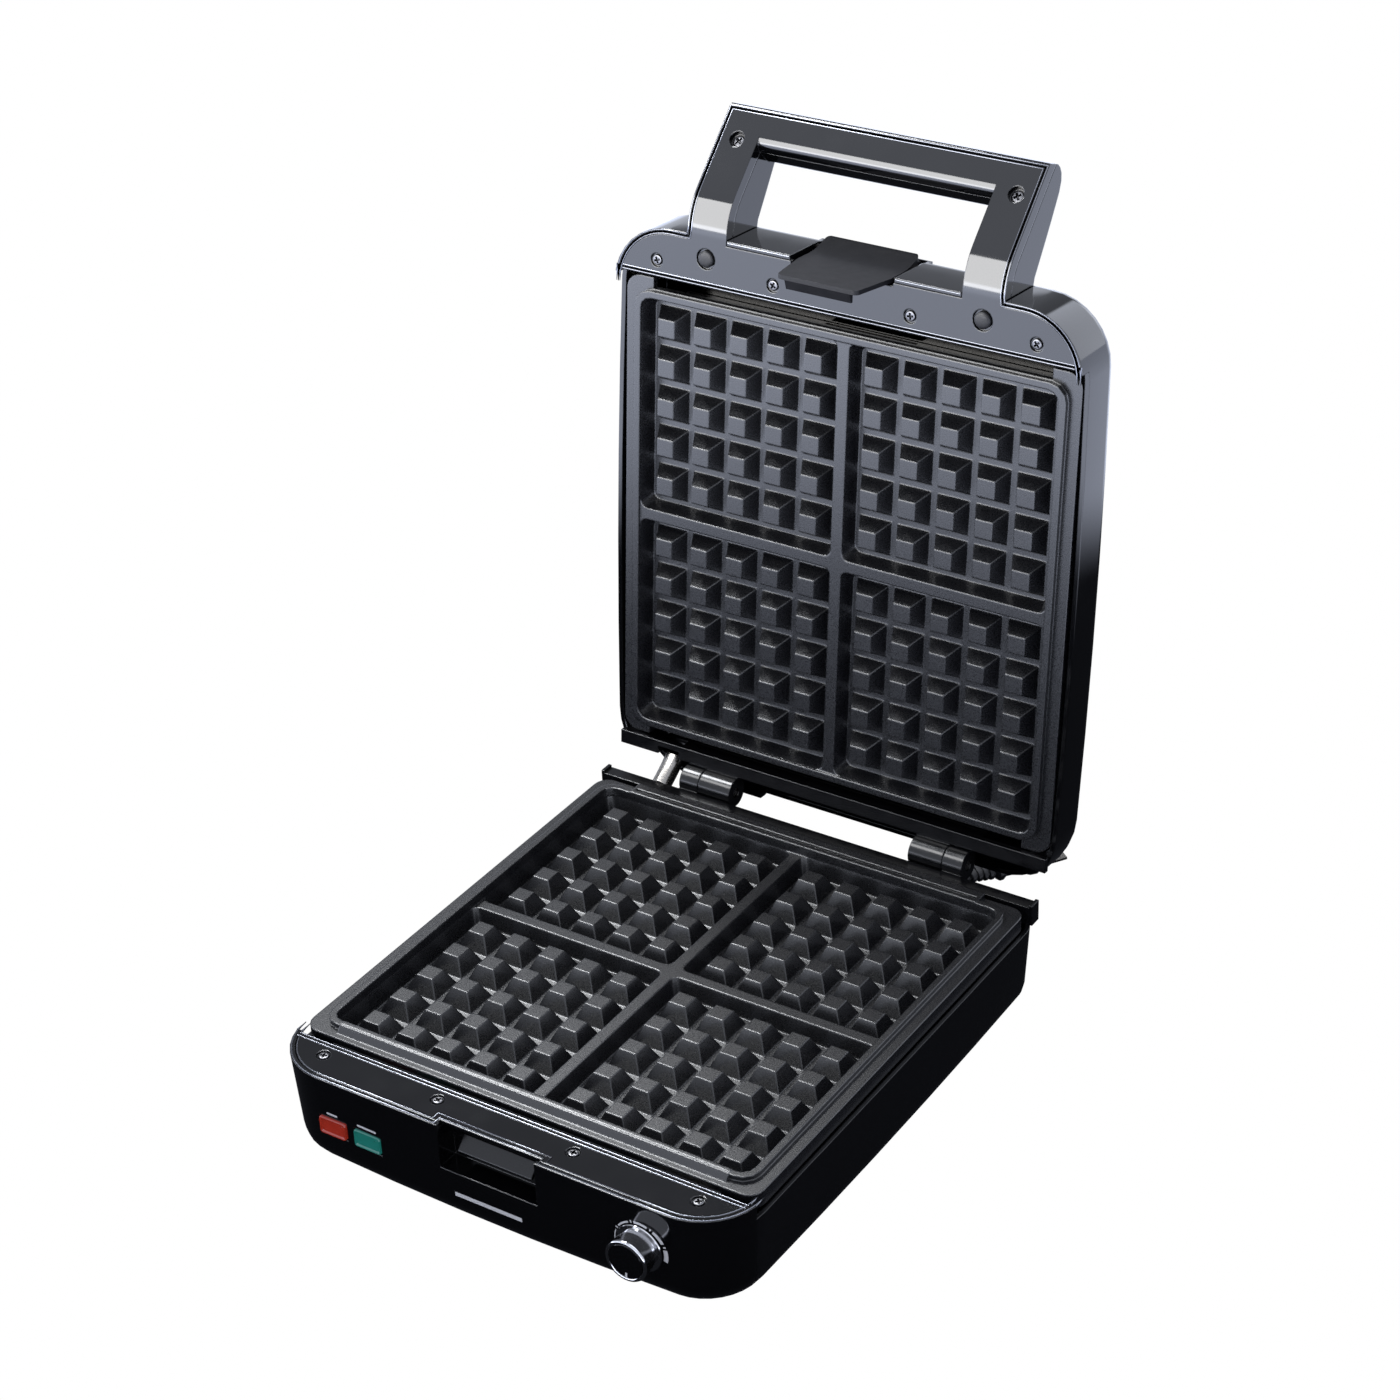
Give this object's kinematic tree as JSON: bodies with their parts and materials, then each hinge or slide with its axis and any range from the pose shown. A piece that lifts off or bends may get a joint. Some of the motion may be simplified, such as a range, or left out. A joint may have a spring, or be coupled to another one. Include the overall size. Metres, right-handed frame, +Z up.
{
  "type": "waffle maker",
  "caption": "Open Belgian waffle maker: square deep-pocket non-stick plates, hinged lid with a loop handle, front latch, indicator lamps, browning knob and power cord.",
  "frame": {"origin": "bottom centre of the open object's box, without its cord: the table surface under its feet", "axes": "+X to the right of a person facing the front, +Y from the front to the hinge, +Z up"},
  "size_m": [0.2753, 0.4238, 0.4151],
  "materials": {
    "satin_black": "satin moulded phenolic",
    "gloss_black": "polished",
    "nonstick": "cast, dark grey non-stick coating with a fine grain",
    "chrome": "bright plated",
    "steel": "plain bright",
    "brushed_steel": "brushed along X",
    "red_lens": "translucent",
    "green_lens": "translucent",
    "rubber": "matt",
    "dark_metal": "dark oxide",
    "ceramic": "ceramic and glass, plain"
  },
  "bodies": {
    "base": {"base_housing": "satin_black", "latch_catch": "satin_black", "base_hinge_bridge": "satin_black", "front_fascia": "gloss_black", "base_trim": "gloss_black", "lower_plate": "nonstick", "hinge_pin_left": "steel", "hinge_pin_right": "steel", "wire_sleeve": "steel", "lower_reflector": "steel", "plug_blade_left": "steel", "plug_blade_right": "steel", "power_lamp_lens": "red_lens", "ready_lamp_lens": "green_lens", "foot_front_left": "rubber", "foot_front_right": "rubber", "foot_rear_left": "rubber", "foot_rear_right": "rubber", "cord_gland": "rubber", "cord_inlet_run": "rubber", "cord_plug_run": "rubber", "cord_hank": "rubber", "plug_body": "rubber", "lower_element": "dark_metal", "base_trim_screw_1": "dark_metal", "base_trim_screw_2": "dark_metal", "base_trim_screw_3": "dark_metal", "base_trim_screw_4": "dark_metal", "thermostat": "ceramic", "power_lamp_bulb": "ceramic", "ready_lamp_bulb": "ceramic", "terminal_block": "ceramic", "thermal_fuse": "ceramic"},
    "lid": {"lid_shell": "gloss_black", "lid_top_panel": "brushed_steel", "handle_frame": "gloss_black", "handle_cover": "gloss_black", "lid_hinge_bridge": "satin_black", "latch_pin": "steel", "latch_spring": "steel", "upper_plate": "nonstick", "upper_element": "dark_metal", "upper_reflector": "steel", "bumper_left": "rubber", "bumper_right": "rubber", "handle_screw_left": "dark_metal", "handle_screw_right": "dark_metal", "lid_trim_screw_1": "dark_metal", "lid_trim_screw_2": "dark_metal", "lid_trim_screw_3": "dark_metal", "lid_trim_screw_4": "dark_metal"},
    "knob": {"control_knob": "chrome", "knob_cap": "gloss_black", "thermostat_shaft": "steel"},
    "latch": {"latch": "satin_black"}
  },
  "joints": [
    {"name": "lid_hinge", "type": "hinge", "parent": "base", "child": "lid", "pos_m": [0, 0.11468, 0.0622], "axis": [1, 0, 0], "range_deg": [0, 95.7], "deforming": ["wire_sleeve"]},
    {"name": "knob_turn", "type": "hinge", "parent": "base", "child": "knob", "pos_m": [0.0835, -0.18552, 0.033], "axis": [0, 1, 0], "range_deg": [0, 270]},
    {"name": "latch_hinge", "type": "hinge", "parent": "lid", "child": "latch", "pos_m": [0, 0.16999, 0.35656], "axis": [-1, 0, 0], "range_deg": [0, 25], "stiffness_Nm_per_rad": 0.05}
  ]
}
